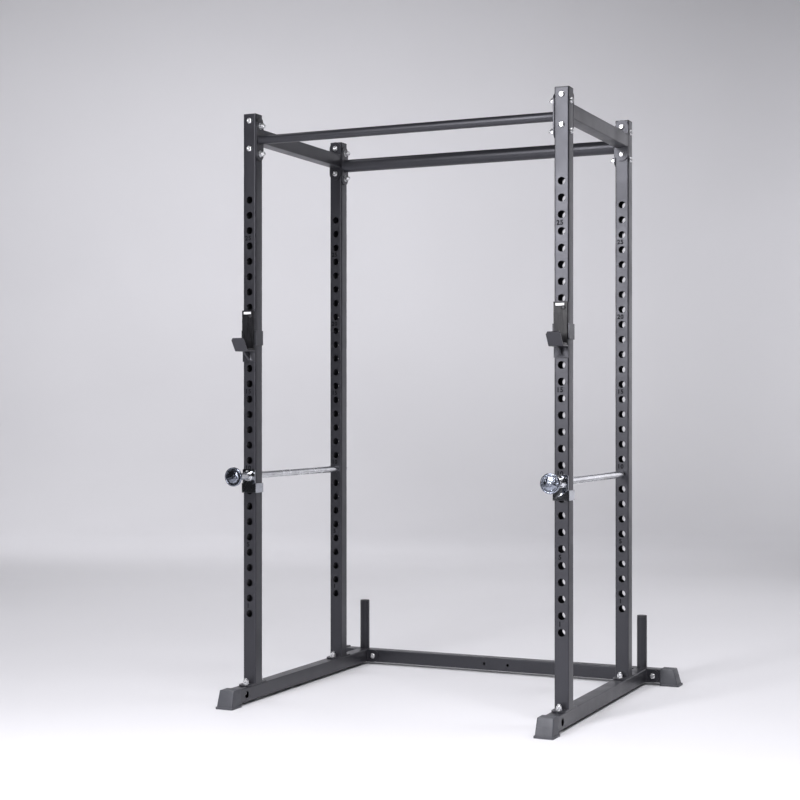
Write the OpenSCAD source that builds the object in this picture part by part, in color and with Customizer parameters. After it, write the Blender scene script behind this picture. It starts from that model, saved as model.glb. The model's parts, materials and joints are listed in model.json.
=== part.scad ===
// Bolted power cage for a home gym: a four-post square-tube frame on two side runners and a rear
// crossmember, two pull-up bars, two hook-on bar cups and two pull-out safety rods.
// Millimetres. +Z up, floor at z = 0, the lifter walks in from -Y, X runs across the cage.
// The origin is on the floor in the middle of the outer box of the cage.

/* [Frame] */
// Overall height, from the floor to the top of the uprights
overall_height = 2110; // [1760:10:2530]
// Left upright to right upright, centre to centre
upright_spacing = 1178; // [980:2:1420]
// Front upright to rear upright, centre to centre
upright_depth = 684; // [570:2:822]
// Side of the square steel tube
tube = 50; // [45:1:60]
// Wall of the square steel tube
wall = 2; // [1.5:0.25:3]
// Outside corner radius of the square tube
tube_corner = 4; // [3:0.5:5]

/* [Base] */
// How far the front feet reach ahead of the front uprights
front_reach = 181; // [150:1:220]
// Gap between the rear uprights and the rear crossmember
rear_gap = 191; // [159:1:230]
// Upright centre to the outer end of the rear foot
side_reach = 151; // [150:1:200]
// Height of the base tubes above the floor
base_gap = 10; // [8:0.5:14]
// Length of a moulded foot
boot_length = 72; // [60:1:74]
// Nose of a foot, ahead of the tube end
boot_nose = 26; // [22:1:31]
// How far the sole of a foot spreads past the tube
lip_flare = 9; // [8:0.5:11]
// Thickness of the sole of a foot
lip_thickness = 7; // [6:0.5:9]
// Cross bore in the front end of each side runner, behind the foot
runner_bore_setback = 60; // [56:1:64]

/* [Joining flanges and bolts] */
// Thickness of the welded end plates
flange_thickness = 5; // [4:0.5:6]
// Distance between the two bolts of every end plate
bolt_spacing = 100; // [96:1:112]
// Bolt shank diameter
bolt_d = 12; // [10:1:12]
// Bolt hole clearance on the diameter
bolt_hole_clearance = 1; // [0.6:0.1:1.5]
// Washer thickness
washer_t = 2.5; // [2:0.25:3]
// Thread standing past the nut
bolt_stub = 6.5; // [3:0.5:12]
// Gap between the crossing bolts inside a post
bolt_pass_gap = 6; // [3:0.5:10]

/* [Adjustment holes] */
// Play of a pin or rod in its hole, on the diameter
pin_play = 1; // [0.5:0.1:2]
// Height step between neighbouring pin holes
hole_pitch = 55; // [46:1:66]
// Height of the lowest pin hole above the floor
first_hole = 315; // [262:1:378]
// Least length of plain post above the highest pin hole
plain_top = 309; // [258:1:370]
// Hole that carries the bar cups, counted from the floor
cup_hole = 19; // [14:1:20]
// Hole that carries the safety rods, counted from the floor
rod_hole = 10; // [3:1:11]

/* [Pull-up bars] */
// Diameter of the front pull-up bar
front_bar_d = 32; // [26:1:38]
// Diameter of the rear pull-up bar
rear_bar_d = 50; // [42:1:60]
// Wall of the pull-up bars
bar_wall = 2.5; // [2:0.25:4]

/* [Bar cups] */
// Height of the back plate above the carrying hole
cup_rise = 100; // [90:1:105]
// Height of the back plate below the carrying hole
cup_drop = 86; // [80:1:95]
// Underside of the shelf below the carrying hole
shelf_drop = 50; // [46:1:60]
// Height of the channel that hugs the post
cup_channel = 52; // [44:1:62]
// Clear depth of the cradle at the shelf
cradle_depth = 50; // [42:1:60]
// Height of the front lip
lip_height = 47; // [39:1:56]
// Lean of the front lip, from its foot to its tip
lip_lean = 33; // [20:1:39]
// Cut off the top corners of the lip, measured along its side
lip_cut = 8; // [4:1:12]
// Steel thickness of the cup
cup_steel = 5; // [4:0.5:6]
// Thickness of the plastic liner
liner = 7; // [5:0.5:8]
// Shank diameter of the liner screw
screw_d = 8; // [6.5:0.5:9.5]

/* [Safety rods] */
// Rod diameter, also of the pin of a bar cup
rod_d = 25; // [20:0.5:30]
// Rod length behind the rear uprights
rod_tail = 30; // [15:1:60]
// Length of the handle, from the front uprights to the face of the knob
handle_reach = 119; // [100:1:140]
// Knob diameter
knob_d = 68; // [57:1:81]
// Knob thickness
knob_t = 9; // [8:0.5:11]
// Collar length along the rod
collar_t = 9; // [7:0.5:11]
// Collar wall around the rod
collar_wall = 6; // [5:0.5:8]
// Lock plate above the rod centre
lock_rise = 24; // [22:1:29]
// Lock plate below the rod centre
lock_drop = 61; // [51:1:73]
// Height of the lock channel that hugs the post
lock_channel = 34; // [28:1:36]

/* [Storage pegs] */
// Peg diameter
peg_d = 38; // [32:1:45]
// Peg height above the crossmember, cap included
peg_height = 200; // [167:1:240]
// Wall of a peg
peg_wall = 2.5; // [2:0.25:3.5]
// Thickness of a peg cap
peg_cap_t = 5; // [4.5:0.5:6]
// Diameter of the two attachment holes in the rear crossmember
attach_hole_d = 11; // [9:0.5:13]
// Distance between the two attachment holes
attach_spacing = 100; // [84:1:120]

/* [Post caps] */
// Thickness of a post cap above the tube
cap_t = 3; // [2.5:0.5:4]
// Depth of its plug inside the tube
cap_plug = 11; // [9:0.5:13]

/* [Hidden] */

$fn = 48;
LEFT = -1;
RIGHT = 1;
FRONT = 0;
REAR = 1;

// welded end plate: an obround as wide as the tube, with one bolt beyond each side of it
flange_length = bolt_spacing + tube;
bolt_hole_d = bolt_d + bolt_hole_clearance;

// fastener sizes that follow the bolt
head_d = 1.75 * bolt_d;
head_h = 0.55 * bolt_d;
nut_af = 1.5 * bolt_d;
nut_h = bolt_d;
washer_d = 2 * bolt_d;
bolt_length = tube + flange_thickness + washer_t + nut_h + bolt_stub;

// frame planes
rear_stub = bolt_length - tube - flange_thickness;
overall_depth = front_reach + upright_depth + tube + rear_gap + tube + max(lip_flare, rear_stub);
y_front = -overall_depth / 2 + front_reach;
half_spacing = upright_spacing / 2;
base_top = base_gap + tube;
base_mid = base_gap + tube / 2;
post_foot = base_top + flange_thickness;
post_top = overall_height - cap_t;
y_cross = y_front + upright_depth + tube + rear_gap;
end_reach = max(side_reach, flange_length / 2 + boot_length + 1);
base_half = half_spacing + end_reach;

// The end plates of the beams end flush with the top of the frame. The bars hang lower, so that
// their bolts pass under the beam bolts inside the post.
beam_z = overall_height - flange_length / 2;
bar_z = beam_z - bolt_d - bolt_pass_gap;

// pin holes
hole_d = rod_d + pin_play;
hole_count = floor((overall_height - plain_top - first_hole) / hole_pitch) + 1;
cup_z = first_hole + (cup_hole - 1) * hole_pitch;
rod_z = first_hole + (rod_hole - 1) * hole_pitch;

// play between a hooked-on part and the tube it hugs
hug = 0.6;
face_gap = 0.5;

// colours
coat = [0.24, 0.24, 0.26];
plastic = [0.07, 0.07, 0.08];
zinc = [0.80, 0.81, 0.83];
chrome = [0.86, 0.87, 0.89];

function post_x(side) = side * half_spacing;
function post_y(row) = y_front + row * upright_depth;

// ---------------------------------------------------------------- shared shapes

// square with round corners, centred
module round_square(w, r) {
    square([w, w - 2 * r], center = true);
    square([w - 2 * r, w], center = true);
    for (x = [-1, 1], y = [-1, 1])
        translate([x * (w / 2 - r), y * (w / 2 - r)])
            circle(r);
}

// square tube standing on z = 0
module box_tube(length) {
    difference() {
        linear_extrude(length)
            round_square(tube, tube_corner);
        translate([0, 0, -1])
            linear_extrude(length + 2)
                round_square(tube - 2 * wall, tube_corner - wall);
    }
}

// obround end plate lying on z = 0, long side along X, with its two bolt holes
module end_plate() {
    difference() {
        linear_extrude(flange_thickness)
            union() {
                square([bolt_spacing, tube], center = true);
                for (x = [-1, 1])
                    translate([x * bolt_spacing / 2, 0])
                        circle(d = tube);
            }
        for (x = [-1, 1])
            translate([x * bolt_spacing / 2, 0, -1])
                cylinder(d = bolt_hole_d, h = flange_thickness + 2);
    }
}

// bolt hole or pin hole drilled right through a tube, along +Y or +X from the tube centre
module drill_y(d) {
    rotate([90, 0, 0])
        cylinder(d = d, h = tube + 2, center = true);
}

module drill_x(d) {
    rotate([0, 90, 0])
        cylinder(d = d, h = tube + 2, center = true);
}

// button-head bolt: the head stands on +Z, the shank runs down to -length
module bolt() {
    crown = head_h * 0.75;
    difference() {
        union() {
            cylinder(d = head_d, h = head_h - crown);
            translate([0, 0, head_h - crown])
                rotate_extrude()
                    intersection() {
                        square([head_d / 2, crown]);
                        translate([0, crown - head_d * 0.62])
                            circle(head_d * 0.62, $fn = 96);
                    }
            translate([0, 0, -bolt_length])
                cylinder(d = bolt_d, h = bolt_length + 0.5);
        }
        translate([0, 0, head_h * 0.4])
            cylinder(d = bolt_d * 0.77, h = head_h, $fn = 6);
    }
}

// plain washer on z = 0
module washer() {
    difference() {
        cylinder(d = washer_d, h = washer_t);
        translate([0, 0, -1])
            cylinder(d = bolt_hole_d, h = washer_t + 2);
    }
}

// hex nut on z = 0, with both faces chamfered
module nut() {
    difference() {
        intersection() {
            cylinder(d = nut_af / cos(30), h = nut_h, $fn = 6);
            union() {
                cylinder(d1 = nut_af, d2 = nut_af + 3, h = 1);
                translate([0, 0, 1])
                    cylinder(d = nut_af + 3, h = nut_h - 2);
                translate([0, 0, nut_h - 1])
                    cylinder(d1 = nut_af + 3, d2 = nut_af, h = 1);
            }
        }
        translate([0, 0, -1])
            cylinder(d = bolt_d + 0.1, h = nut_h + 2);
    }
}

// ---------------------------------------------------------------- where the bolts sit

// Each place has the bolt axis on Z, the head side at z = 0 and the clamped stack below it.
module at_beam_bolts() {
    for (side = [LEFT, RIGHT], dz = [-1, 1]) {
        translate([post_x(side), post_y(FRONT), beam_z + dz * bolt_spacing / 2])
            rotate([90, 0, 0])
                children();
        translate([post_x(side), post_y(REAR) - flange_thickness, beam_z + dz * bolt_spacing / 2])
            rotate([90, 0, 0])
                children();
    }
}

module at_bar_bolts() {
    for (side = [LEFT, RIGHT], row = [FRONT, REAR], dz = [-1, 1])
        translate([post_x(side) + side * tube / 2, post_y(row) + tube / 2, bar_z + dz * bolt_spacing / 2])
            rotate([0, side * 90, 0])
                children();
}

module at_post_bolts() {
    for (side = [LEFT, RIGHT], row = [FRONT, REAR], dy = [-1, 1])
        translate([post_x(side), post_y(row) + tube / 2 + dy * bolt_spacing / 2, base_gap])
            rotate([180, 0, 0])
                children();
}

module at_runner_bolts() {
    for (side = [LEFT, RIGHT], dx = [-1, 1])
        translate([post_x(side) + dx * bolt_spacing / 2, y_cross - flange_thickness, base_mid])
            rotate([90, 0, 0])
                children();
}

// far side of the clamped stack: one tube and one end plate
module behind_stack(extra = 0) {
    translate([0, 0, -(tube + flange_thickness + extra)])
        mirror([0, 0, 1])
            children();
}

// ---------------------------------------------------------------- base

module runner(side) {
    front_end = y_front - front_reach + boot_nose;
    rear_end = y_cross - flange_thickness;
    color(coat)
        difference() {
            translate([post_x(side), front_end, base_mid])
                rotate([-90, 0, 0])
                    box_tube(rear_end - front_end);
            for (row = [FRONT, REAR], dy = [-1, 1])
                translate([post_x(side), post_y(row) + tube / 2 + dy * bolt_spacing / 2, base_gap - 1])
                    cylinder(d = bolt_hole_d, h = tube + 2);
            translate([post_x(side), y_front - runner_bore_setback, base_mid])
                drill_x(hole_d);
        }
}

// welded on the rear end of a side runner, bolted to the crossmember
module runner_end_plate(side) {
    color(coat)
        translate([post_x(side), y_cross - flange_thickness, base_mid])
            rotate([-90, 0, 0])
                end_plate();
}

module rear_crossmember() {
    tube_half = base_half - boot_nose;
    color(coat)
        difference() {
            translate([-tube_half, y_cross + tube / 2, base_mid])
                rotate([0, 90, 0])
                    box_tube(2 * tube_half);
            for (side = [LEFT, RIGHT], dx = [-1, 1])
                translate([post_x(side) + dx * bolt_spacing / 2, y_cross + tube / 2, base_mid])
                    drill_y(bolt_hole_d);
            for (dx = [-1, 1])
                translate([dx * attach_spacing / 2, y_cross + tube / 2, base_mid])
                    drill_y(attach_hole_d);
        }
}

// Moulded foot over a tube end. Local frame: the nose is at y = 0, the tube comes in from +Y.
module boot() {
    w = tube / 2;
    top = base_top + 3.5;
    color(plastic)
        difference() {
            union() {
                // spread sole
                hull()
                    for (x = [-1, 1], y = [6, boot_length - 4])
                        translate([x * (w + lip_flare - (y < 10 ? 6 : 4)), y, 0])
                            cylinder(r = y < 10 ? 6 : 4, h = lip_thickness, $fn = 32);
                // leaning body
                hull() {
                    for (x = [-1, 1], y = [9, boot_length - 2])
                        translate([x * (w + 6 - (y < 10 ? 4 : 2)), y, lip_thickness - 1])
                            cylinder(r = y < 10 ? 4 : 2, h = 1, $fn = 32);
                    for (x = [-1, 1], y = [24, boot_length - 2])
                        translate([x * (w + 3.5 - (y < 30 ? 4 : 2)), y, top - 3])
                            cylinder(r1 = y < 30 ? 4 : 2, r2 = y < 30 ? 2 : 1, h = 3, $fn = 32);
                }
            }
            translate([-w, boot_nose, base_gap])
                cube([tube, boot_length, tube]);
        }
}

module foot_front(side) {
    translate([post_x(side), y_front - front_reach, 0])
        boot();
}

module foot_rear(side) {
    translate([side * base_half, y_cross + tube / 2, 0])
        rotate([0, 0, side * 90])
            boot();
}

module storage_peg(side) {
    color(coat)
        translate([post_x(side), y_cross + tube / 2, base_top])
            difference() {
                cylinder(d = peg_d, h = peg_height - peg_cap_t);
                translate([0, 0, -1])
                    cylinder(d = peg_d - 2 * peg_wall, h = peg_height);
            }
}

module peg_cap(side) {
    edge = 2;
    r = peg_d / 2 - 0.3;
    plug_r = peg_d / 2 - peg_wall - 0.05;
    color(plastic)
        translate([post_x(side), y_cross + tube / 2, base_top + peg_height - peg_cap_t]) {
            rotate_extrude()
                union() {
                    square([r, peg_cap_t - edge]);
                    square([r - edge, peg_cap_t]);
                    translate([r - edge, peg_cap_t - edge])
                        circle(edge);
                }
            translate([0, 0, -18])
                difference() {
                    cylinder(r = plug_r, h = 18);
                    translate([0, 0, -1])
                        cylinder(r = plug_r - 2.5, h = 18);
                }
        }
}

// ---------------------------------------------------------------- posts and top

module upright(side, row) {
    color(coat)
        translate([post_x(side), post_y(row) + tube / 2, 0])
            difference() {
                translate([0, 0, post_foot])
                    box_tube(post_top - post_foot);
                for (i = [0 : hole_count - 1])
                    translate([0, 0, first_hole + i * hole_pitch])
                        drill_y(hole_d);
                for (dz = [-1, 1]) {
                    translate([0, 0, beam_z + dz * bolt_spacing / 2])
                        drill_y(bolt_hole_d);
                    translate([0, 0, bar_z + dz * bolt_spacing / 2])
                        drill_x(bolt_hole_d);
                }
            }
}

// welded under a post, bolted down ahead of the post and behind it
module foot_plate(side, row) {
    color(coat)
        translate([post_x(side), post_y(row) + tube / 2, base_top])
            rotate([0, 0, 90])
                end_plate();
}

module upright_cap(side, row) {
    inner = tube - 2 * wall - 0.1;
    color(plastic)
        translate([post_x(side), post_y(row) + tube / 2, post_top]) {
            linear_extrude(cap_t)
                round_square(tube, tube_corner);
            translate([0, 0, -cap_plug])
                difference() {
                    linear_extrude(cap_plug)
                        round_square(inner, tube_corner - wall);
                    translate([0, 0, -1])
                        linear_extrude(cap_plug)
                            round_square(inner - 5, 1);
                }
        }
}

module top_beam(side) {
    start = post_y(FRONT) + tube;
    run = upright_depth - tube;
    color(coat)
        translate([post_x(side), start, beam_z])
            rotate([-90, 0, 0]) {
                translate([0, 0, flange_thickness])
                    box_tube(run - 2 * flange_thickness);
                for (z = [0, run - flange_thickness])
                    translate([0, 0, z])
                        rotate([0, 0, 90])
                            end_plate();
            }
}

module pull_up_bar(row, d) {
    run = upright_spacing - tube;
    color(coat)
        translate([-run / 2, post_y(row) + tube / 2, bar_z])
            rotate([0, 90, 0]) {
                translate([0, 0, flange_thickness])
                    difference() {
                        cylinder(d = d, h = run - 2 * flange_thickness, $fn = 64);
                        translate([0, 0, -1])
                            cylinder(d = d - 2 * bar_wall, h = run, $fn = 64);
                    }
                for (z = [0, run - flange_thickness])
                    translate([0, 0, z])
                        end_plate();
            }
}

// ---------------------------------------------------------------- bar cup

// Local frame of a cup: x = 0 on the post centre, y = 0 on the post face, z = 0 on the carrying hole.
cup_back = -face_gap;
cup_front = cup_back - cup_steel;
shelf_z = -shelf_drop;
lip_y = cup_front - cradle_depth;
lip_angle = atan(lip_lean / lip_height);
lip_len = (lip_height - cup_steel) / cos(lip_angle);
cup_screw_x = 11;
cup_screw_z = cup_rise - 22;
screw_hole_d = screw_d + 0.6;
screw_head_d = 1.75 * screw_d;

module at_cup(side) {
    translate([post_x(side), y_front, cup_z])
        children();
}

// two legs and a web that hug the post
module hug_channel(t, z0, z1, reach) {
    for (x = [-1, 1])
        translate([x > 0 ? tube / 2 + hug : -(tube / 2 + hug + t), cup_front, z0])
            cube([t, reach - cup_front, z1 - z0]);
    translate([-(tube / 2 + hug + t), cup_front, z0])
        cube([tube + 2 * (hug + t), cup_steel, z1 - z0]);
}

// Plate of a cup or lock, standing on the post face, with round top corners
module tongue(z0, z1, r) {
    translate([0, cup_back, 0])
        rotate([90, 0, 0])
            linear_extrude(cup_steel)
                union() {
                    translate([-tube / 2, z0])
                        square([tube, z1 - z0 - r]);
                    translate([-tube / 2 + r, z0])
                        square([tube - 2 * r, z1 - z0]);
                    for (x = [-1, 1])
                        translate([x * (tube / 2 - r), z1 - r])
                            circle(r);
                }
}

// Side outline of shelf, bend and lip: x runs forward from the back plate, y is height.
module cradle_outline() {
    inner = [-lip_y, shelf_z + cup_steel];
    translate([-cup_front - 1, shelf_z])
        square([cradle_depth + 1, cup_steel]);
    intersection() {
        translate(inner)
            circle(cup_steel);
        translate([inner[0], inner[1]])
            rotate(-90)
                square([cup_steel, cup_steel]);
    }
    translate(inner)
        rotate(-lip_angle)
            square([cup_steel, lip_len]);
}

module bar_cup(side) {
    color(coat)
        at_cup(side)
            difference() {
                union() {
                    tongue(-cup_drop, cup_rise, 8);
                    hug_channel(4, -cup_channel / 2, cup_channel / 2, tube - 3);
                    // pin that sits in the carrying hole
                    translate([0, cup_back - 1, 0])
                        rotate([-90, 0, 0]) {
                            cylinder(d = rod_d, h = 21);
                            translate([0, 0, 21])
                                cylinder(d1 = rod_d, d2 = rod_d - 5, h = 2.5);
                        }
                    // shelf and leaning lip, bent from one strip
                    rotate([90, 0, -90])
                        linear_extrude(tube, center = true)
                            cradle_outline();
                    // gusset under the shelf
                    translate([-4, cup_front + 1, shelf_z + 1])
                        rotate([0, 90, 0])
                            linear_extrude(8)
                                polygon([[0, 0], [0, -cradle_depth + 8],
                                         [cup_drop + shelf_z - 5, 0]]);
                }
                // cut corners of the lip
                translate([0, lip_y, shelf_z + cup_steel])
                    rotate([90 + lip_angle, 0, 0])
                        for (x = [-1, 1])
                            translate([x * tube / 2, lip_len, -1])
                                linear_extrude(cup_steel + 2)
                                    polygon(lip_cut * [[-x * 0.91, 0.3], [x * 0.21, -1.3],
                                                       [x, -1.3], [x, 0.3]]);
                // screw hole for the liner
                translate([cup_screw_x, cup_front - 1, cup_screw_z])
                    rotate([-90, 0, 0])
                        cylinder(d = screw_hole_d, h = cup_steel + 2);
            }
}

module cup_liner(side) {
    w = tube - 3;
    color(plastic)
        at_cup(side)
            difference() {
                union() {
                    translate([-w / 2, cup_front - liner, shelf_z + cup_steel])
                        cube([w, liner, cup_rise - 2 - shelf_z - cup_steel]);
                    translate([-w / 2, lip_y + 6, shelf_z + cup_steel])
                        cube([w, cup_front - lip_y - 6, liner]);
                }
                translate([cup_screw_x, cup_front - liner - 1, cup_screw_z])
                    rotate([-90, 0, 0])
                        cylinder(d = screw_hole_d, h = liner + 2);
            }
}

module cup_screw(side) {
    color(plastic)
        at_cup(side)
            translate([cup_screw_x, cup_front - liner, cup_screw_z])
                rotate([90, 0, 0])
                    difference() {
                        union() {
                            cylinder(d = screw_head_d, h = 1.5);
                            translate([0, 0, 1.5])
                                cylinder(d1 = screw_head_d, d2 = screw_d, h = 2.5);
                            translate([0, 0, -(liner + cup_steel)])
                                cylinder(d = screw_d, h = liner + cup_steel + 1);
                        }
                        translate([0, 0, 1.6])
                            cylinder(d = 0.72 * screw_d, h = 4, $fn = 6);
                    }
}

// ---------------------------------------------------------------- safety rod

module at_rod(side) {
    translate([post_x(side), y_front, rod_z])
        children();
}

module safety_rod(side) {
    front = -handle_reach + knob_t;
    rear = upright_depth + tube + rod_tail;
    color(chrome)
        at_rod(side)
            translate([0, front, 0])
                rotate([-90, 0, 0]) {
                    cylinder(d = rod_d, h = rear - front - 3);
                    translate([0, 0, rear - front - 3])
                        cylinder(d1 = rod_d, d2 = rod_d - 6, h = 3);
                }
}

// domed disc, turned in one piece
module rod_knob(side) {
    r = knob_d / 2;
    dome = 95;
    color(chrome)
        at_rod(side)
            translate([0, -handle_reach, 0])
                rotate([-90, 0, 0])
                    rotate_extrude($fn = 96)
                        difference() {
                            union() {
                                translate([0, 2.5])
                                    square([r - 2.5, knob_t - 2.5]);
                                translate([r - 3.5, knob_t - 3.5])
                                    circle(3.5);
                                intersection() {
                                    square([r, knob_t]);
                                    translate([0, dome])
                                        circle(dome, $fn = 180);
                                }
                            }
                            translate([r - 14, knob_t - 1.5])
                                square([10, 3]);
                        }
}

module rod_collar(side) {
    r = rod_d / 2 + collar_wall;
    color(chrome)
        at_rod(side)
            translate([0, cup_front - collar_t, 0])
                rotate([-90, 0, 0])
                    difference() {
                        union() {
                            translate([0, 0, 2])
                                cylinder(r = r, h = collar_t - 2);
                            cylinder(r1 = r - 2, r2 = r, h = 2);
                        }
                        translate([0, 0, -1])
                            cylinder(d = rod_d, h = collar_t + 2);
                    }
}

// plate on the rod with a channel below it that hugs the post, so the rod cannot turn
module rod_lock(side) {
    color(chrome)
        at_rod(side)
            difference() {
                union() {
                    tongue(-lock_drop, lock_rise, 5);
                    hug_channel(3, -lock_drop, -lock_drop + lock_channel, tube);
                }
                translate([0, cup_front - 1, 0])
                    rotate([-90, 0, 0])
                        cylinder(d = rod_d, h = cup_steel + 2);
            }
}

// ---------------------------------------------------------------- the assembly

runner(LEFT);  // runner_left
runner(RIGHT);  // runner_right
rear_crossmember();
runner_end_plate(LEFT);  // runner_end_plate_left
runner_end_plate(RIGHT);  // runner_end_plate_right
upright(LEFT, FRONT);  // upright_front_left
upright(RIGHT, FRONT);  // upright_front_right
upright(LEFT, REAR);  // upright_rear_left
upright(RIGHT, REAR);  // upright_rear_right
foot_plate(LEFT, FRONT);  // foot_plate_front_left
foot_plate(RIGHT, FRONT);  // foot_plate_front_right
foot_plate(LEFT, REAR);  // foot_plate_rear_left
foot_plate(RIGHT, REAR);  // foot_plate_rear_right
top_beam(LEFT);  // top_beam_left
top_beam(RIGHT);  // top_beam_right
pull_up_bar(FRONT, front_bar_d);  // pull_up_bar_front
pull_up_bar(REAR, rear_bar_d);  // pull_up_bar_rear
upright_cap(LEFT, FRONT);  // upright_cap_front_left
upright_cap(RIGHT, FRONT);  // upright_cap_front_right
upright_cap(LEFT, REAR);  // upright_cap_rear_left
upright_cap(RIGHT, REAR);  // upright_cap_rear_right
foot_front(LEFT);  // foot_front_left
foot_front(RIGHT);  // foot_front_right
foot_rear(LEFT);  // foot_rear_left
foot_rear(RIGHT);  // foot_rear_right
storage_peg(LEFT);  // storage_peg_left
storage_peg(RIGHT);  // storage_peg_right
peg_cap(LEFT);  // peg_cap_left
peg_cap(RIGHT);  // peg_cap_right

color(zinc) at_beam_bolts() bolt();  // beam_bolts
color(zinc) at_beam_bolts() behind_stack() washer();  // beam_washers
color(zinc) at_beam_bolts() behind_stack(washer_t) nut();  // beam_nuts
color(zinc) at_bar_bolts() bolt();  // bar_bolts
color(zinc) at_bar_bolts() behind_stack() washer();  // bar_washers
color(zinc) at_bar_bolts() behind_stack(washer_t) nut();  // bar_nuts
color(zinc) at_post_bolts() bolt();  // post_bolts
color(zinc) at_post_bolts() behind_stack() washer();  // post_washers
color(zinc) at_post_bolts() behind_stack(washer_t) nut();  // post_nuts
color(zinc) at_runner_bolts() bolt();  // runner_bolts
color(zinc) at_runner_bolts() behind_stack() washer();  // runner_washers
color(zinc) at_runner_bolts() behind_stack(washer_t) nut();  // runner_nuts

bar_cup(LEFT);  // bar_cup_left
bar_cup(RIGHT);  // bar_cup_right
cup_liner(LEFT);  // cup_liner_left
cup_liner(RIGHT);  // cup_liner_right
cup_screw(LEFT);  // cup_screw_left
cup_screw(RIGHT);  // cup_screw_right
safety_rod(LEFT);  // safety_rod_left
safety_rod(RIGHT);  // safety_rod_right
rod_knob(LEFT);  // rod_knob_left
rod_knob(RIGHT);  // rod_knob_right
rod_collar(LEFT);  // rod_collar_left
rod_collar(RIGHT);  // rod_collar_right
rod_lock(LEFT);  // rod_lock_left
rod_lock(RIGHT);  // rod_lock_right
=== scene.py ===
"""Looks of the power cage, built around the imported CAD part. Metres, the part's own frame."""

import json
import math
import random

import bmesh
import bpy
from mathutils import Matrix, Vector


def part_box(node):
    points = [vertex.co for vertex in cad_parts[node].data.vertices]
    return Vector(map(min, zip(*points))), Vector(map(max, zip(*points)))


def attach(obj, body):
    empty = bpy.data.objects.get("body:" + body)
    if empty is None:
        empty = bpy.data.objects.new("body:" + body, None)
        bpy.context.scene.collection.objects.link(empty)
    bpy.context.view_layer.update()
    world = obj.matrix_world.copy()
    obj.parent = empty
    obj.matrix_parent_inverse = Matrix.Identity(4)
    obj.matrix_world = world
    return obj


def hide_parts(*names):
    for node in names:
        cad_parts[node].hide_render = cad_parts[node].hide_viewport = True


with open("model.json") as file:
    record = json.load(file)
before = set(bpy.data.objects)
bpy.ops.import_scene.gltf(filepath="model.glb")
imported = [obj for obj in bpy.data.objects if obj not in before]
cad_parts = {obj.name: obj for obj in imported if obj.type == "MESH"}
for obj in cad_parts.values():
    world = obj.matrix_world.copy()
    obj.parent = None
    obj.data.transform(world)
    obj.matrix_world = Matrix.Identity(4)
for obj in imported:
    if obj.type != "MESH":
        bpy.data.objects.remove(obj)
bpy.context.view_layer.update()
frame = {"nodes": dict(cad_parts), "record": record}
NODES = frame["nodes"]
BODY_OF = {n: b for b, members in frame["record"]["behaviour"]["bodies"].items() for n in members}
SLOT_OF = {s["node"]: s["material_slot"] for s in frame["record"]["subparts"]}
MOUNTS = {m["name"]: m for m in frame["record"]["mounts"]}
SIDES = ("left", "right")
POST_ROWS = ("front", "rear")
rng = random.Random(7)


# ---------------------------------------------------------------- materials


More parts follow.
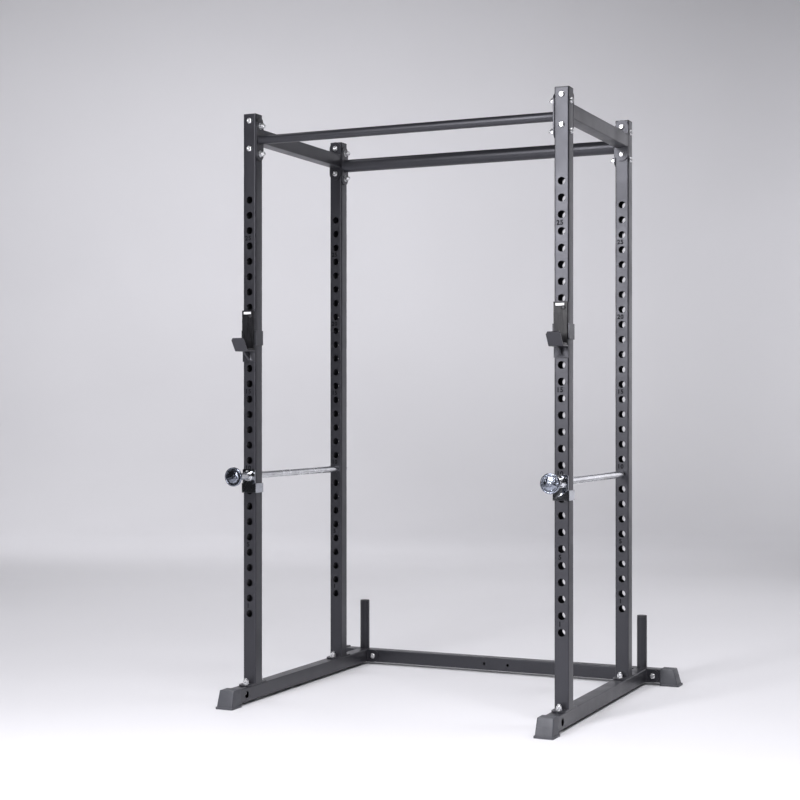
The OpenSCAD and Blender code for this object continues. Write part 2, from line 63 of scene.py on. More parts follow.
class Nodes:
    """Short way to build one material's node tree."""

    def __init__(self, name):
        self.mat = bpy.data.materials.new(name)
        self.mat.use_nodes = True
        self.tree = self.mat.node_tree
        self.bsdf = self.tree.nodes["Principled BSDF"]
        self.coord = self.tree.nodes.new("ShaderNodeTexCoord").outputs["Object"]

    def add(self, kind, **values):
        node = self.tree.nodes.new("ShaderNode" + kind)
        for key, value in values.items():
            if hasattr(node, key):
                setattr(node, key, value)
            else:
                node.inputs[key.replace("_", " ")].default_value = value
        return node

    def link(self, a, b):
        self.tree.links.new(a, b)

    def stretched(self, scale):
        mapping = self.add("Mapping")
        mapping.inputs["Scale"].default_value = scale
        self.link(self.coord, mapping.inputs["Vector"])
        return mapping.outputs["Vector"]

    def noise(self, scale, detail=2.0, roughness=0.5, vector=None):
        node = self.add("TexNoise", Scale=scale, Detail=detail, Roughness=roughness)
        self.link(vector or self.coord, node.inputs["Vector"])
        return node.outputs["Fac"]

    def ramp(self, fac, stops, socket=None):
        """Colours between two stops, linked to a socket of the shader where one is named."""
        node = self.add("ValToRGB")
        for element, (pos, value) in zip(node.color_ramp.elements, stops):
            element.position = pos
            element.color = (*value, 1.0)
        self.link(fac, node.inputs["Fac"])
        if socket:
            self.link(node.outputs["Color"], self.bsdf.inputs[socket])
        return node.outputs["Color"]

    def level(self, fac, low, high, lo_at=0.3, hi_at=0.7):
        node = self.add("MapRange", From_Min=lo_at, From_Max=hi_at, To_Min=low, To_Max=high)
        self.link(fac, node.inputs["Value"])
        return node.outputs["Result"]

    def mix(self, fac, a, b):
        node = self.add("Mix", data_type="RGBA")
        self.link(fac, node.inputs["Factor"])
        for socket, value in (("A", a), ("B", b)):
            target = [i for i in node.inputs if i.name == socket and i.type == "RGBA"][0]
            if isinstance(value, tuple):
                target.default_value = (*value, 1.0)
            else:
                self.link(value, target)
        return [o for o in node.outputs if o.type == "RGBA"][0]

    def math(self, operation, a, b):
        node = self.add("Math", operation=operation)
        for i, value in enumerate((a, b)):
            if isinstance(value, (int, float)):
                node.inputs[i].default_value = value
            else:
                self.link(value, node.inputs[i])
        return node.outputs[0]

    def edge(self, radius, low, high):
        """1 on worn outer edges, 0 on flats: where a rounded normal leaves the true one."""
        bevel = self.add("Bevel", samples=6, Radius=radius)
        geometry = self.add("NewGeometry")
        dot = self.add("VectorMath", operation="DOT_PRODUCT")
        self.link(bevel.outputs["Normal"], dot.inputs[0])
        self.link(geometry.outputs["True Normal"], dot.inputs[1])
        return self.level(dot.outputs["Value"], 1.0, 0.0, low, high)

    def bump(self, heights):
        """heights: (height socket, strength, distance in metres), the broadest first."""
        normal = None
        for height, strength, distance in heights:
            node = self.add("Bump", Strength=strength, Distance=distance)
            self.link(height, node.inputs["Height"])
            if normal:
                self.link(normal, node.inputs["Normal"])
            normal = node.outputs["Normal"]
        self.link(normal, self.bsdf.inputs["Normal"])

    def set(self, **values):
        for key, value in values.items():
            self.bsdf.inputs[key.replace("_", " ")].default_value = value


def charcoal_coat():
    """Satin powder coat with a fine orange-peel texture, a little lighter where edges have rubbed."""
    m = Nodes("charcoal_coat")
    broad = m.noise(3.0, 3.0)
    grain = m.noise(900.0, 2.0, 0.6)
    flecks = m.noise(420.0, 1.0)
    base = m.ramp(broad, [(0.3, (0.015, 0.015, 0.018)), (0.7, (0.021, 0.021, 0.025))])
    speck = m.mix(m.level(flecks, 0.0, 0.35, 0.45, 0.75), base, (0.042, 0.042, 0.049))
    worn = m.math("MULTIPLY", m.edge(0.0012, 0.80, 0.97), m.level(m.noise(60.0, 3.0), 0.25, 0.9))
    m.link(m.mix(worn, speck, (0.085, 0.085, 0.095)), m.bsdf.inputs["Base Color"])
    m.link(m.level(m.noise(14.0, 4.0), 0.31, 0.39), m.bsdf.inputs["Roughness"])
    m.bump([(m.noise(260.0, 2.0), 0.10, 0.0004), (grain, 0.22, 0.00018)])
    # The bluish specular tint is a painted tint of the sheen: it adds the blue of the reflected light to the
    # coat.
    m.set(Metallic=0.0, Specular_IOR_Level=0.65, Specular_Tint=(0.91, 0.92, 1.0, 1.0))
    return m.mat


def foot_plastic():
    """Moulded dark grey plastic with a leathery grain and floor scuffs."""
    m = Nodes("foot_plastic")
    base = m.ramp(m.noise(25.0, 4.0), [(0.3, (0.060, 0.062, 0.072)), (0.7, (0.075, 0.078, 0.088))])
    scuff = m.level(m.noise(1.0, 5.0, 0.7, m.stretched((50, 50, 260))), 0.0, 0.5, 0.58, 0.72)
    worn = m.math("MULTIPLY", m.edge(0.0015, 0.80, 0.97), 0.55)
    m.link(m.mix(m.math("MAXIMUM", scuff, worn), base, (0.15, 0.152, 0.165)), m.bsdf.inputs["Base Color"])
    m.link(m.level(m.noise(40.0, 3.0), 0.42, 0.58), m.bsdf.inputs["Roughness"])
    grain = m.add("TexVoronoi", Scale=700.0)
    m.link(m.coord, grain.inputs["Vector"])
    m.bump([(grain.outputs["Distance"], 0.25, 0.00025)])
    return m.mat


def cap_plastic():
    """Black polyethylene caps: low sheen, faint mould texture."""
    m = Nodes("cap_plastic")
    m.ramp(m.noise(60.0, 3.0), [(0.3, (0.018, 0.018, 0.021)), (0.7, (0.030, 0.030, 0.034))], "Base Color")
    m.link(m.level(m.noise(90.0, 3.0), 0.38, 0.55), m.bsdf.inputs["Roughness"])
    m.bump([(m.noise(900.0, 2.0), 0.2, 0.0002)])
    return m.mat


def liner_plastic():
    """Glossy black liner with rub marks that run up and down, where the bar slides in."""
    m = Nodes("liner_plastic")
    rub = m.noise(1.0, 6.0, 0.65, m.stretched((420, 420, 28)))
    m.ramp(rub, [(0.35, (0.008, 0.008, 0.009)), (0.75, (0.022, 0.022, 0.025))], "Base Color")
    m.link(m.level(rub, 0.24, 0.46, 0.35, 0.72), m.bsdf.inputs["Roughness"])
    m.bump([(m.noise(220.0, 3.0), 0.30, 0.0006), (rub, 0.10, 0.0002)])
    m.set(Specular_IOR_Level=0.22)
    return m.mat


def zinc_fasteners():
    """Bright zinc plate, slightly clouded."""
    m = Nodes("zinc_fasteners")
    cloud = m.noise(160.0, 4.0)
    m.ramp(cloud, [(0.3, (0.74, 0.75, 0.77)), (0.7, (0.90, 0.90, 0.90))], "Base Color")
    m.link(m.level(cloud, 0.22, 0.36), m.bsdf.inputs["Roughness"])
    m.bump([(m.noise(1500.0, 2.0), 0.12, 0.0001)])
    m.set(Metallic=1.0)
    return m.mat


def chrome_plate(name, rough_low, rough_high, wave, mottle=0.1, tone=(0.67, 0.68, 0.70), patch=22.0):
    """Chrome over turned steel: faint rings around the rod's axis and a few dull smears.

    wave and mottle are the strengths of the broad and the fine unevenness, tone is the middle
    colour, and patch is how finely the smears are scattered.
    """
    m = Nodes(name)
    smear = m.noise(patch, 5.0, 0.6)
    m.ramp(smear, [(0.35, tuple(0.75 * c for c in tone)), (0.65, tuple(1.2 * c for c in tone))], "Base Color")
    m.link(m.level(smear, rough_low, rough_high), m.bsdf.inputs["Roughness"])
    rings = m.noise(1.0, 2.0, 0.5, m.stretched((30, 2200, 30)))
    waves = (m.noise(35.0, 2.0), wave, 0.0015)
    mottling = (m.noise(150.0, 3.0), mottle, 0.0014)
    m.bump([waves, mottling, (rings, 0.05, 0.00008)])
    m.set(Metallic=1.0)
    return m.mat


def black_screws():
    """Black oxide on steel, a little oily."""
    m = Nodes("black_screws")
    m.ramp(m.noise(300.0, 3.0), [(0.3, (0.030, 0.030, 0.032)), (0.7, (0.060, 0.060, 0.064))], "Base Color")
    m.link(m.level(m.noise(200.0, 3.0), 0.28, 0.45), m.bsdf.inputs["Roughness"])
    m.set(Metallic=0.6)
    return m.mat


def ink():
    """Black print, thinned in places."""
    m = Nodes("number_ink")
    m.ramp(m.noise(700.0, 3.0), [(0.42, (0.006, 0.006, 0.007)), (0.72, (0.020, 0.020, 0.023))], "Base Color")
    m.set(Roughness=0.9, Specular_IOR_Level=0.1)
    return m.mat


def label_film():
    """Blank white film of a label."""
    m = Nodes("label_film")
    m.ramp(m.noise(120.0, 3.0), [(0.3, (0.80, 0.80, 0.80)), (0.7, (0.88, 0.88, 0.88))], "Base Color")
    m.link(m.level(m.noise(200.0, 2.0), 0.30, 0.42), m.bsdf.inputs["Roughness"])
    m.bump([(m.noise(500.0, 2.0), 0.1, 0.0001)])
    return m.mat


MATS = {
    "charcoal_coat": charcoal_coat(),
    "foot_plastic": foot_plastic(),
    "cap_plastic": cap_plastic(),
    "liner_plastic": liner_plastic(),
    "zinc_fasteners": zinc_fasteners(),
    "black_screws": black_screws(),
    "chrome_plate": chrome_plate("chrome_plate", 0.16, 0.30, 0.02),
}
# Knob chrome: the dark bluish tone and the fine colour mottle are a painted reflection of dark, bluish
# surroundings in the domed knob.
KNOB_CHROME_PAINTED_REFLECTION = chrome_plate("chrome_mirror", 0.04, 0.12, 0.2, 0.8, (0.22, 0.24, 0.285), 150.0)
# Lock plate chrome: the dark tone is painted shade that dims the plates' reflections, so their fronts and
# side wings stay dark.
LOCK_CHROME_PAINTED_SHADE = chrome_plate("chrome_lock", 0.05, 0.12, 0.1, 0.05, (0.25, 0.26, 0.28))
POLISHED = chrome_plate("chrome_polished", 0.05, 0.14, 0.1)
INK = ink()
FILM = label_film()


# ---------------------------------------------------------------- mesh helpers


def piece(name, body, slot, mesh, material=None, smooth=40):
    """A new object on a body, shaded smooth up to the given angle."""
    mesh.materials.clear()
    mesh.materials.append(material or MATS[slot])
    mesh.polygons.foreach_set("use_smooth", [True] * len(mesh.polygons))
    mesh.set_sharp_from_angle(angle=math.radians(smooth))
    obj = bpy.data.objects.new(name, mesh)
    bpy.context.scene.collection.objects.link(obj)
    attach(obj, body)
    return obj


def from_bmesh(name, bm):
    mesh = bpy.data.meshes.new(name)
    bm.to_mesh(mesh)
    bm.free()
    return mesh


def skin_rings(bm, rings, matrix, cap_first=True, cap_last=True):
    """Joins rings of points that have the same count, given in a local frame."""
    rows = [[bm.verts.new(matrix @ Vector(p)) for p in ring] for ring in rings]
    count = len(rows[0])
    for a, b in zip(rows, rows[1:]):
        for i in range(count):
            j = (i + 1) % count
            bm.faces.new((a[i], a[j], b[j], b[i]))
    if cap_first:
        bm.faces.new(list(reversed(rows[0])))
    if cap_last:
        bm.faces.new(rows[-1])


def ring(radius, z, count=48):
    """One ring of points. radius is a number or a function of the angle."""
    points = []
    for i in range(count):
        a = 2 * math.pi * i / count
        r = radius(a) if callable(radius) else radius
        points.append((r * math.cos(a), r * math.sin(a), z))
    return points


def hexagon(across_flats):
    """Radius of a hexagon at an angle."""

    def radius(a):
        step = math.pi / 3
        return across_flats / 2 / math.cos((a % step) - step / 2)

    return radius


def lesser(shape, limit):
    return lambda a: min(shape(a), limit)


def solids_of(node):
    """Boxes and points of the separate solids in a CAD node."""
    bm = bmesh.new()
    bm.from_mesh(NODES[node].data)
    bmesh.ops.remove_doubles(bm, verts=bm.verts, dist=1e-6)
    seen, groups = set(), []
    for start in bm.verts:
        if start in seen:
            continue
        stack, group = [start], []
        seen.add(start)
        while stack:
            v = stack.pop()
            group.append(v.co.copy())
            for e in v.link_edges:
                w = e.other_vert(v)
                if w not in seen:
                    seen.add(w)
                    stack.append(w)
        groups.append(group)
    bm.free()
    out = []
    for group in groups:
        lo = Vector([min(p[i] for p in group) for i in range(3)])
        hi = Vector([max(p[i] for p in group) for i in range(3)])
        out.append((lo, hi, group))
    return out


def axis_frame(axis, sign, origin):
    """Matrix whose +Z is the given world axis and sign."""
    z = Vector([0, 0, 0])
    z[axis] = sign
    x = Vector((0, 0, 1)) if axis != 2 else Vector((1, 0, 0))
    y = z.cross(x)
    return Matrix.Translation(origin) @ Matrix((x, y, z)).transposed().to_4x4()


def refine(node, bevel, segments=2, material=None):
    """A copy of a CAD node with merged flats and rounded edges, shown in its place."""
    sharp = math.radians(32)
    name = node + "_finish"
    bm = bmesh.new()
    bm.from_mesh(NODES[node].data)
    bmesh.ops.remove_doubles(bm, verts=bm.verts, dist=2e-6)
    bmesh.ops.dissolve_limit(
        bm, angle_limit=math.radians(0.6), verts=bm.verts, edges=bm.edges, use_dissolve_boundaries=False
    )
    obj = piece(name, BODY_OF[node], SLOT_OF[node], from_bmesh(name, bm), material)
    obj.data.set_sharp_from_angle(angle=sharp)
    mod = obj.modifiers.new("edges", "BEVEL")
    mod.width = bevel
    mod.segments = segments
    mod.limit_method = "ANGLE"
    mod.angle_limit = sharp
    mod.use_clamp_overlap = True
    mod.harden_normals = True
    mod.miter_outer = "MITER_ARC"
    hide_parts(node)


# ---------------------------------------------------------------- fasteners

# Shares of the bolt's diameter: head width, head height, socket radius.
HEAD_WIDTH, HEAD_HEIGHT, SOCKET = 1.75, 0.55, 0.385
THREAD_LENGTH, THREAD_PITCH, THREAD_DEPTH, TIP_CHAMFER = 0.030, 0.00175, 0.0009, 0.0014
NUT_ACROSS, NUT_BORE, NUT_CHAMFER = 0.018, 0.0061, 0.0018
WASHER_BORE, WASHER_EDGE = 0.0066, 0.0004

# World axis of each set of washers and nuts.
AXIS_OF = {
    "beam_washers": 1, "beam_nuts": 1, "bar_washers": 0, "bar_nuts": 0,
    "post_washers": 2, "post_nuts": 2, "runner_washers": 1, "runner_nuts": 1,
}


def thread(crest, z0, z1):
    """Rings of a screw thread from z0 up to z1, with a chamfered tip."""
    rings = []
    root = crest - THREAD_DEPTH
    tip = z1 - TIP_CHAMFER
    steps = max(4, int((z1 - z0) / THREAD_PITCH * 8))
    for k in range(steps + 1):
        z = z0 + (z1 - z0) * k / steps

        def radius(a, z=z):
            turn = (z / THREAD_PITCH - a / (2 * math.pi)) % 1.0
            wave = abs(2 * turn - 1)
            r = crest - THREAD_DEPTH * (1 - min(1.0, wave * 1.25))
            return min(r, root - (z - tip) * 0.9) if z > tip else r

        rings.append(ring(radius, z))
    return rings


def bolt_rings(d, length, thread_from):
    """Button-head bolt along +Z: the head below zero, the threaded tip at the top."""
    r, head_r, head_h, socket = d / 2, d * HEAD_WIDTH / 2, d * HEAD_HEIGHT, d * SOCKET
    rings = [
        ring(socket * 0.2, -head_h * 0.35),
        ring(hexagon(2 * socket * 0.96), -head_h * 0.42),
        ring(hexagon(2 * socket * 0.98), -head_h * 0.93),
        ring(socket * 1.25, -head_h),
        ring(head_r * 0.62, -head_h * 0.985),
    ]
    for t in (0.15, 0.35, 0.55, 0.75, 0.9, 1.0):
        a = t * math.pi / 2
        dome = head_h * (0.25 + 0.735 * math.cos(a) ** 0.9)
        rings.append(ring(head_r * (0.62 + 0.38 * math.sin(a)), -dome))
    rings += [ring(head_r, -head_h * 0.08), ring(head_r - 0.0004, 0.0), ring(r, 0.0), ring(r, thread_from)]
    return rings + thread(r, thread_from, length)


def nut_rings(height):
    """Hexagon nut with the corners chamfered on both faces."""
    flats, face = hexagon(NUT_ACROSS), NUT_ACROSS * 0.47
    corner = NUT_ACROSS / 2 / math.cos(math.pi / 6)
    chamfer = []
    for share in (1 / 3, 2 / 3, 1.0):
        chamfer.append((NUT_CHAMFER * share, lesser(flats, face + (corner - face) * share)))
    rings = [ring(NUT_BORE, 0.0), ring(face, 0.0)]
    rings += [ring(shape, z) for z, shape in chamfer]
    rings += [ring(shape, height - z) for z, shape in reversed(chamfer)]
    rings += [ring(face, height), ring(NUT_BORE + 0.0007, height)]
    return rings + [ring(NUT_BORE, height - 0.0009), ring(NUT_BORE, 0.0)]


def washer_rings(outer, t):
    """Flat washer with its edges eased."""
    inner, b = WASHER_BORE, WASHER_EDGE
    return [
        ring(inner, 0.0), ring(outer - b, 0.0), ring(outer, b), ring(outer, t - b),
        ring(outer - b, t), ring(inner + b, t), ring(inner, t - b), ring(inner, 0.0),
    ]


def outward(centre, axis):
    """Which way a nut or washer faces, away from the clamped stack."""
    if axis == 0:
        return -1 if centre.x > 0 else 1
    return 1


def bolt_at(bm, lo, hi, points):
    """A bolt in place of one CAD bolt, its head at the wide end."""
    size, centre = hi - lo, (lo + hi) / 2
    axis = max(range(3), key=lambda i: size[i])
    wide = max(size[i] for i in range(3) if i != axis)
    near = [p for p in points if (p - lo)[axis] < size[axis] * 0.04]
    low_end = max(Vector([c if i != axis else 0 for i, c in enumerate(p - centre)]).length for p in near)
    sign = 1 if low_end > wide * 0.30 else -1
    d = wide / HEAD_WIDTH
    head = d * HEAD_HEIGHT
    length = size[axis] - head
    origin = centre.copy()
    origin[axis] = (lo[axis] + head) if sign > 0 else (hi[axis] - head)
    turn = Matrix.Rotation(rng.uniform(0, math.pi), 4, "Z")
    skin_rings(bm, bolt_rings(d, length, length - THREAD_LENGTH), axis_frame(axis, sign, origin) @ turn)


def ring_at(bm, node, kind, lo, hi):
    """A washer or a nut in place of one in the CAD."""
    axis = AXIS_OF[node]
    size, centre = hi - lo, (lo + hi) / 2
    sign = outward(centre, axis)
    origin = centre.copy()
    origin[axis] = lo[axis] if sign > 0 else hi[axis]
    if kind == "washers":
        rings, turn = washer_rings(size[(axis + 1) % 3] / 2, size[axis]), Matrix()
    else:
        rings = nut_rings(size[axis])
        turn = Matrix.Rotation(rng.uniform(0, math.pi), 4, "Z")
    skin_rings(bm, rings, axis_frame(axis, sign, origin) @ turn, False, False)


def fastener_set(node, kind):
    """Detailed bolts, washers or nuts at the places of the CAD ones."""
    bm = bmesh.new()
    for lo, hi, points in solids_of(node):
        if kind == "bolts":
            bolt_at(bm, lo, hi, points)
        else:
            ring_at(bm, node, kind, lo, hi)
    bmesh.ops.recalc_face_normals(bm, faces=bm.faces)
    obj = piece(node + "_detailed", BODY_OF[node], SLOT_OF[node], from_bmesh(node, bm), smooth=35)
    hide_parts(node)


for group in ("beam", "bar", "post", "runner"):
    for kind in ("bolts", "washers", "nuts"):
        fastener_set(group + "_" + kind, kind)


SCREW_HEAD, SCREW_SHANK = 0.004, 0.0039


def liner_screw(side):
    """Low round head with a hex socket."""
    node = "cup_screw_" + side
    lo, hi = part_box(node)
    origin = Vector(((lo.x + hi.x) / 2, lo.y + SCREW_HEAD, (lo.z + hi.z) / 2))
    rings = [ring(0.0005, -0.0020), ring(hexagon(0.0056), -0.0021), ring(hexagon(0.0058), -0.0037)]
    outline = [(0.0038, -0.0040), (0.0055, -0.0036), (0.0067, -0.0026), (0.0070, -0.0015)]
    outline += [(0.0070, -0.0002), (0.0068, 0.0), (SCREW_SHANK, 0.0), (SCREW_SHANK, hi.y - origin.y)]
    rings += [ring(radius, z) for radius, z in outline]
    bm = bmesh.new()
    skin_rings(bm, rings, axis_frame(1, 1, origin) @ Matrix.Rotation(rng.uniform(0, 3), 4, "Z"))
    bmesh.ops.recalc_face_normals(bm, faces=bm.faces)
    obj = piece(node + "_detailed", BODY_OF[node], "black_screws", from_bmesh(node, bm), smooth=35)
    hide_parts(node)


for side in SIDES:
    liner_screw(side)


# ---------------------------------------------------------------- rounded edges

# Start of a node's name, then width and segments of its rounded edges. The first match counts.
# "runner_" also matches runner_bolts, runner_washers and runner_nuts, so each of them has a plain
# rounded copy as well as its detailed piece.
EDGES = (
    (("runner_end_plate", "foot_plate"), 0.0006, 2, None),
    (("upright_cap", "peg_cap"), 0.0008, 2, None),
    (("foot_",), 0.0012, 3, None),
    (("bar_cup",), 0.0007, 2, None),
    (("cup_liner",), 0.0016, 3, None),
    (("rod_lock",), 0.0006, 2, LOCK_CHROME_PAINTED_SHADE),
    (("upright_", "runner_", "top_beam", "rear_crossmember", "pull_up_bar", "storage_peg"), 0.0004, 2, None),
)

for node in NODES:
    for starts, width, segments, material in EDGES:
        if node.startswith(starts):
            refine(node, width, segments, material)
            break

# The turned chrome pieces keep their CAD meshes.
for side in SIDES:
    turned = {"safety_rod_": MATS["chrome_plate"], "rod_knob_": KNOB_CHROME_PAINTED_REFLECTION, "rod_collar_": POLISHED}
    for node, material in turned.items():
        cad = NODES[node + side]
        cad.data.materials.clear()
        cad.data.materials.append(material)


# ---------------------------------------------------------------- weld beads

BEAD, FINE_BEAD = 0.0022, 0.0020
TUBE, END_PLATE, BEAD_INSET = 0.050, 0.005, 0.005
BAR_DIAMETER = {"front": 0.032, "rear": 0.050}
SLANT = Vector((0.31, 0.22, 0.92))  # along no weld, so it always gives a side direction


def bead(bm, points, radius, closed=False, step=0.0016):
    """A rippled weld bead along a polyline."""
    path = []
    pairs = list(zip(points, points[1:])) + ([(points[-1], points[0])] if closed else [])
    for a, b in pairs:
        n = max(1, int((b - a).length / step))
        path += [a.lerp(b, i / n) for i in range(n)]
    if not closed:
        path.append(points[-1])
    rows = []
    for i, p in enumerate(path):
        before = path[i - 1] if (i or closed) else p
        after = path[(i + 1) % len(path)] if (i + 1 < len(path) or closed) else p
        t = (after - before).normalized()
        across = t.cross(SLANT).normalized()
        up = across.cross(t)
        end = 1.0 if closed else min(1.0, 0.45 + 0.25 * min(i, len(path) - 1 - i))
        r = radius * end * (1 + 0.10 * math.cos(i * 1.7) + rng.uniform(-0.04, 0.04))
        row = []
        for k in range(8):
            a = math.pi / 4 * k
            row.append(bm.verts.new(p + (across * math.cos(a) + up * math.sin(a)) * r))
        rows.append(row)
    links = list(zip(rows, rows[1:])) + ([(rows[-1], rows[0])] if closed else [])
    for a, b in links:
        for k in range(8):
            j = (k + 1) % 8
            bm.faces.new((a[k], a[j], b[j], b[k]))
    if not closed:
        bm.faces.new(list(reversed(rows[0])))
        bm.faces.new(rows[-1])


def circle(centre, axis, radius):
    matrix = axis_frame(axis, 1, centre)
    return [matrix @ Vector(p) for p in ring(radius, 0.0, 40)]


def span(a, b):
    return [Vector(a), Vector(b)]


def weld_piece(name, body, build):
    bm = bmesh.new()
    build(bm)
    bmesh.ops.recalc_face_normals(bm, faces=bm.faces)
    piece(name, body, "charcoal_coat", from_bmesh(name, bm), smooth=60)


def post_welds(bm):
    for row in POST_ROWS:
        for side in SIDES:
            lo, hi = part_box("upright_%s_%s" % (row, side))
            for y in (lo.y, hi.y):
                bead(bm, span((lo.x + BEAD_INSET, y, lo.z), (hi.x - BEAD_INSET, y, lo.z)), BEAD)


def beam_welds(bm):
    for side in SIDES:
        lo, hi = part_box("top_beam_" + side)
        mid = (lo.z + hi.z) / 2
        for y in (lo.y + END_PLATE, hi.y - END_PLATE):
            for z in (mid - TUBE / 2, mid + TUBE / 2):
                bead(bm, span((lo.x + BEAD_INSET, y, z), (hi.x - BEAD_INSET, y, z)), BEAD)


def bar_welds(bm):
    for row, diameter in BAR_DIAMETER.items():
        lo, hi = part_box("pull_up_bar_" + row)
        y, z = (lo.y + hi.y) / 2, (lo.z + hi.z) / 2
        for x in (lo.x + END_PLATE, hi.x - END_PLATE):
            bead(bm, circle(Vector((x, y, z)), 0, diameter / 2), FINE_BEAD, True)


def base_welds(bm):
    for side in SIDES:
        lo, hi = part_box("runner_" + side)
        for x in (lo.x, hi.x):
            bead(bm, span((x, hi.y, lo.z + BEAD_INSET), (x, hi.y, hi.z - BEAD_INSET)), FINE_BEAD)
        lo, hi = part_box("storage_peg_" + side)
        centre = Vector(((lo.x + hi.x) / 2, (lo.y + hi.y) / 2, lo.z))
        bead(bm, circle(centre, 2, (hi.x - lo.x) / 2), BEAD, True)


weld_piece("post_foot_welds", "frame", post_welds)
weld_piece("top_beam_welds", "frame", beam_welds)
weld_piece("pull_up_bar_welds", "frame", bar_welds)
weld_piece("base_welds", "frame", base_welds)


# ---------------------------------------------------------------- hole numbers and label

MOUNT_HOLE = 15  # the hole whose place is in the record
HOLE_PITCH = 0.055
NUMBERED = (1, 5, 10, 15, 20, 25)
DIGIT_HEIGHT, DIGIT_SHIFT = 0.0155, 0.0055
CAPITAL_SHARE = 0.70  # height of a digit in the font's own size


def number_mesh(text, matrix):
    """Printed digits as a thin mesh."""
    curve = bpy.data.curves.new("digits", "FONT")
    curve.body = text
    curve.size = DIGIT_HEIGHT / CAPITAL_SHARE
    curve.align_x = "CENTER"
    curve.align_y = "CENTER"
    curve.extrude = 0.00006
    curve.offset = 0.0009
    curve.space_character = 1.12
    obj = bpy.data.objects.new("digits", curve)
    bpy.context.scene.collection.objects.link(obj)
    bpy.context.view_layer.update()
    mesh = bpy.data.meshes.new_from_object(obj.evaluated_get(bpy.context.evaluated_depsgraph_get()))
    bpy.data.objects.remove(obj)
    mesh.transform(matrix)
    return mesh


def printed_numbers():
    """Numbers of the first and of every fifth hole, printed above it on the front of each post."""
    bm = bmesh.new()
    for row in POST_ROWS:
        for side in SIDES:
            lo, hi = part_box("upright_%s_%s" % (row, side))
            x = (lo.x + hi.x) / 2 - DIGIT_SHIFT
            mount_z = MOUNTS["pin_holes_" + side]["pos_m"][2]
            for number in NUMBERED:
                z = mount_z + (number - MOUNT_HOLE) * HOLE_PITCH + HOLE_PITCH / 2
                place = Matrix.Translation((x, lo.y - 0.00005, z)) @ Matrix.Rotation(math.pi / 2, 4, "X")
                mesh = number_mesh(str(number), place)
                bm.from_mesh(mesh)
                bpy.data.meshes.remove(mesh)
    piece("hole_numbers", "frame", "charcoal_coat", from_bmesh("hole_numbers", bm), INK)


printed_numbers()


def blank_label(side):
    """A plain white label on the liner, with nothing printed on it."""
    lo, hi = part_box("cup_liner_" + side)
    half_width, half_height, thickness, corner = 0.015, 0.00425, 0.00025, 0.0012
    top_face = min(v.co.y for v in NODES["cup_liner_" + side].data.vertices if v.co.z > hi.z - 0.002)
    centre = Vector(((lo.x + hi.x) / 2 - 0.0015, top_face, hi.z - 0.0095))
    outline = []
    for cx, cz, start in ((1, 1, 0), (-1, 1, 90), (-1, -1, 180), (1, -1, 270)):
        for k in range(5):
            a = math.radians(start + 22.5 * k)
            x = cx * (half_width - corner) + corner * math.cos(a)
            outline.append((x, cz * (half_height - corner) + corner * math.sin(a)))
    bm = bmesh.new()
    rings = [[(x, y, z) for x, z in outline] for y in (0.0002, -thickness)]
    skin_rings(bm, rings, Matrix.Translation(centre))
    bmesh.ops.recalc_face_normals(bm, faces=bm.faces)
    mesh = from_bmesh("cup_label", bm)
    piece("cup_label_" + side, BODY_OF["cup_liner_" + side], "liner_plastic", mesh, FILM)


for side in SIDES:
    blank_label(side)


# ---------------------------------------------------------------- stage, light, camera


def studio_floor():
    """A pale floor that sweeps up into a pale wall far behind the cage."""
    near_edge, sweep_start, sweep, wall_top, half_width, steps = -9.0, 7.0, 2.5, 9.0, 14.0, 16
    profile = [(near_edge, 0.0), (sweep_start, 0.0)]
    for k in range(1, steps + 1):
        t = math.pi / 2 * k / steps
        profile.append((sweep_start + sweep * math.sin(t), sweep - sweep * math.cos(t)))
    profile.append((sweep_start + sweep, wall_top))
    bm = bmesh.new()
    rows = [[bm.verts.new((x, y, z)) for y, z in profile] for x in (-half_width, half_width)]
    for i in range(len(profile) - 1):
        bm.faces.new((rows[0][i], rows[1][i], rows[1][i + 1], rows[0][i + 1]))
    mesh = from_bmesh("studio_floor", bm)
    m = Nodes("studio_floor")
    m.ramp(m.noise(0.8, 2.0), [(0.3, (0.78, 0.78, 0.80)), (0.7, (0.80, 0.80, 0.82))], "Base Color")
    m.set(Roughness=0.55, Specular_IOR_Level=0.3)
    mesh.materials.append(m.mat)
    mesh.polygons.foreach_set("use_smooth", [True] * len(mesh.polygons))
    obj = bpy.data.objects.new("studio_floor", mesh)
    obj.matrix_world = Matrix.Rotation(math.radians(24.6), 4, "Z")
    bpy.context.scene.collection.objects.link(obj)


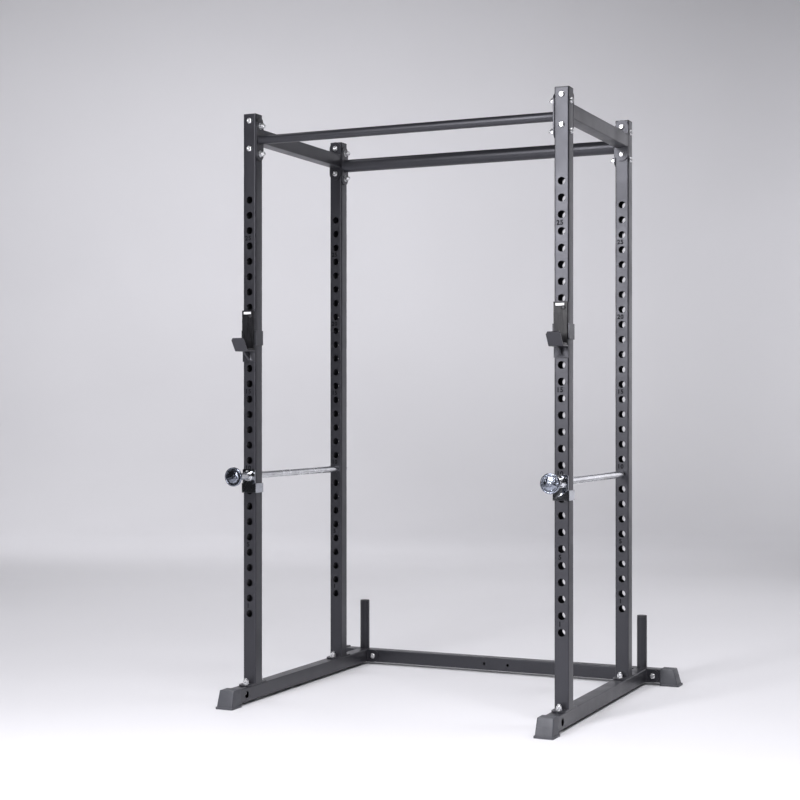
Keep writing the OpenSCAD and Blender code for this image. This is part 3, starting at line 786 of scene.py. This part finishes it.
def softbox(name, place, target, size, power, spread=180):
    """A rectangular light at place that faces target, with its spread in degrees."""
    data = bpy.data.lights.new(name, "AREA")
    data.shape = "RECTANGLE"
    data.size, data.size_y = size
    data.energy = power
    data.spread = math.radians(spread)
    data.color = (0.978, 0.967, 1.0)
    obj = bpy.data.objects.new(name, data)
    obj.location = place
    obj.rotation_euler = (Vector(target) - Vector(place)).to_track_quat("-Z", "Y").to_euler()
    bpy.context.scene.collection.objects.link(obj)


studio_floor()
softbox("key", (-0.65, -4.6, 2.85), (0.5, -0.4, 1.9), (1.1, 3.1), 165)
softbox("front_card", (-1.1, -5.4, 1.3), (0.5, -0.4, 1.1), (1.4, 1.5), 2)
softbox("floor_light", (1.0, -3.8, 5.0), (0.7, -3.5, 0), (5.0, 2.4), 170, spread=95)
softbox("floor_light_left", (-3.6, 0.2, 4.2), (-2.4, 0.6, 0), (2.0, 3.5), 22, spread=90)
softbox("floor_light_right", (3.2, 1.2, 4.2), (1.5, 1.4, 0), (2.0, 3.5), 30, spread=90)
softbox("floor_light_back", (-2.6, 4.2, 5.5), (-2.6, 3.8, 0), (9.0, 2.5), 62, spread=80)
softbox("backdrop_wash", (-3.2, 2.6, 5.2), (-5.6, 8.4, 1.5), (9.0, 1.2), 132, spread=105)
softbox("side_wash", (5.7, 8.6, 4.2), (5.8, 12.2, 0.6), (5.0, 1.2), 390)

world = bpy.data.worlds.new("studio")
world.use_nodes = True
world.node_tree.nodes["Background"].inputs["Color"].default_value = (0.80, 0.80, 0.84, 1)
world.node_tree.nodes["Background"].inputs["Strength"].default_value = 0.06
bpy.context.scene.world = world
bpy.context.scene.view_settings.view_transform = "Standard"

camera = bpy.data.cameras.new("camera")
camera.lens = 71.55
camera.sensor_width = 36.0
camera.shift_y = 0.0083
camera.clip_end = 60
camera_obj = bpy.data.objects.new("camera", camera)
camera_obj.location = (2.282, -5.3745, 1.058)
camera_obj.rotation_euler = (math.radians(90), 0, math.radians(24.62))
bpy.context.scene.collection.objects.link(camera_obj)
bpy.context.scene.camera = camera_obj
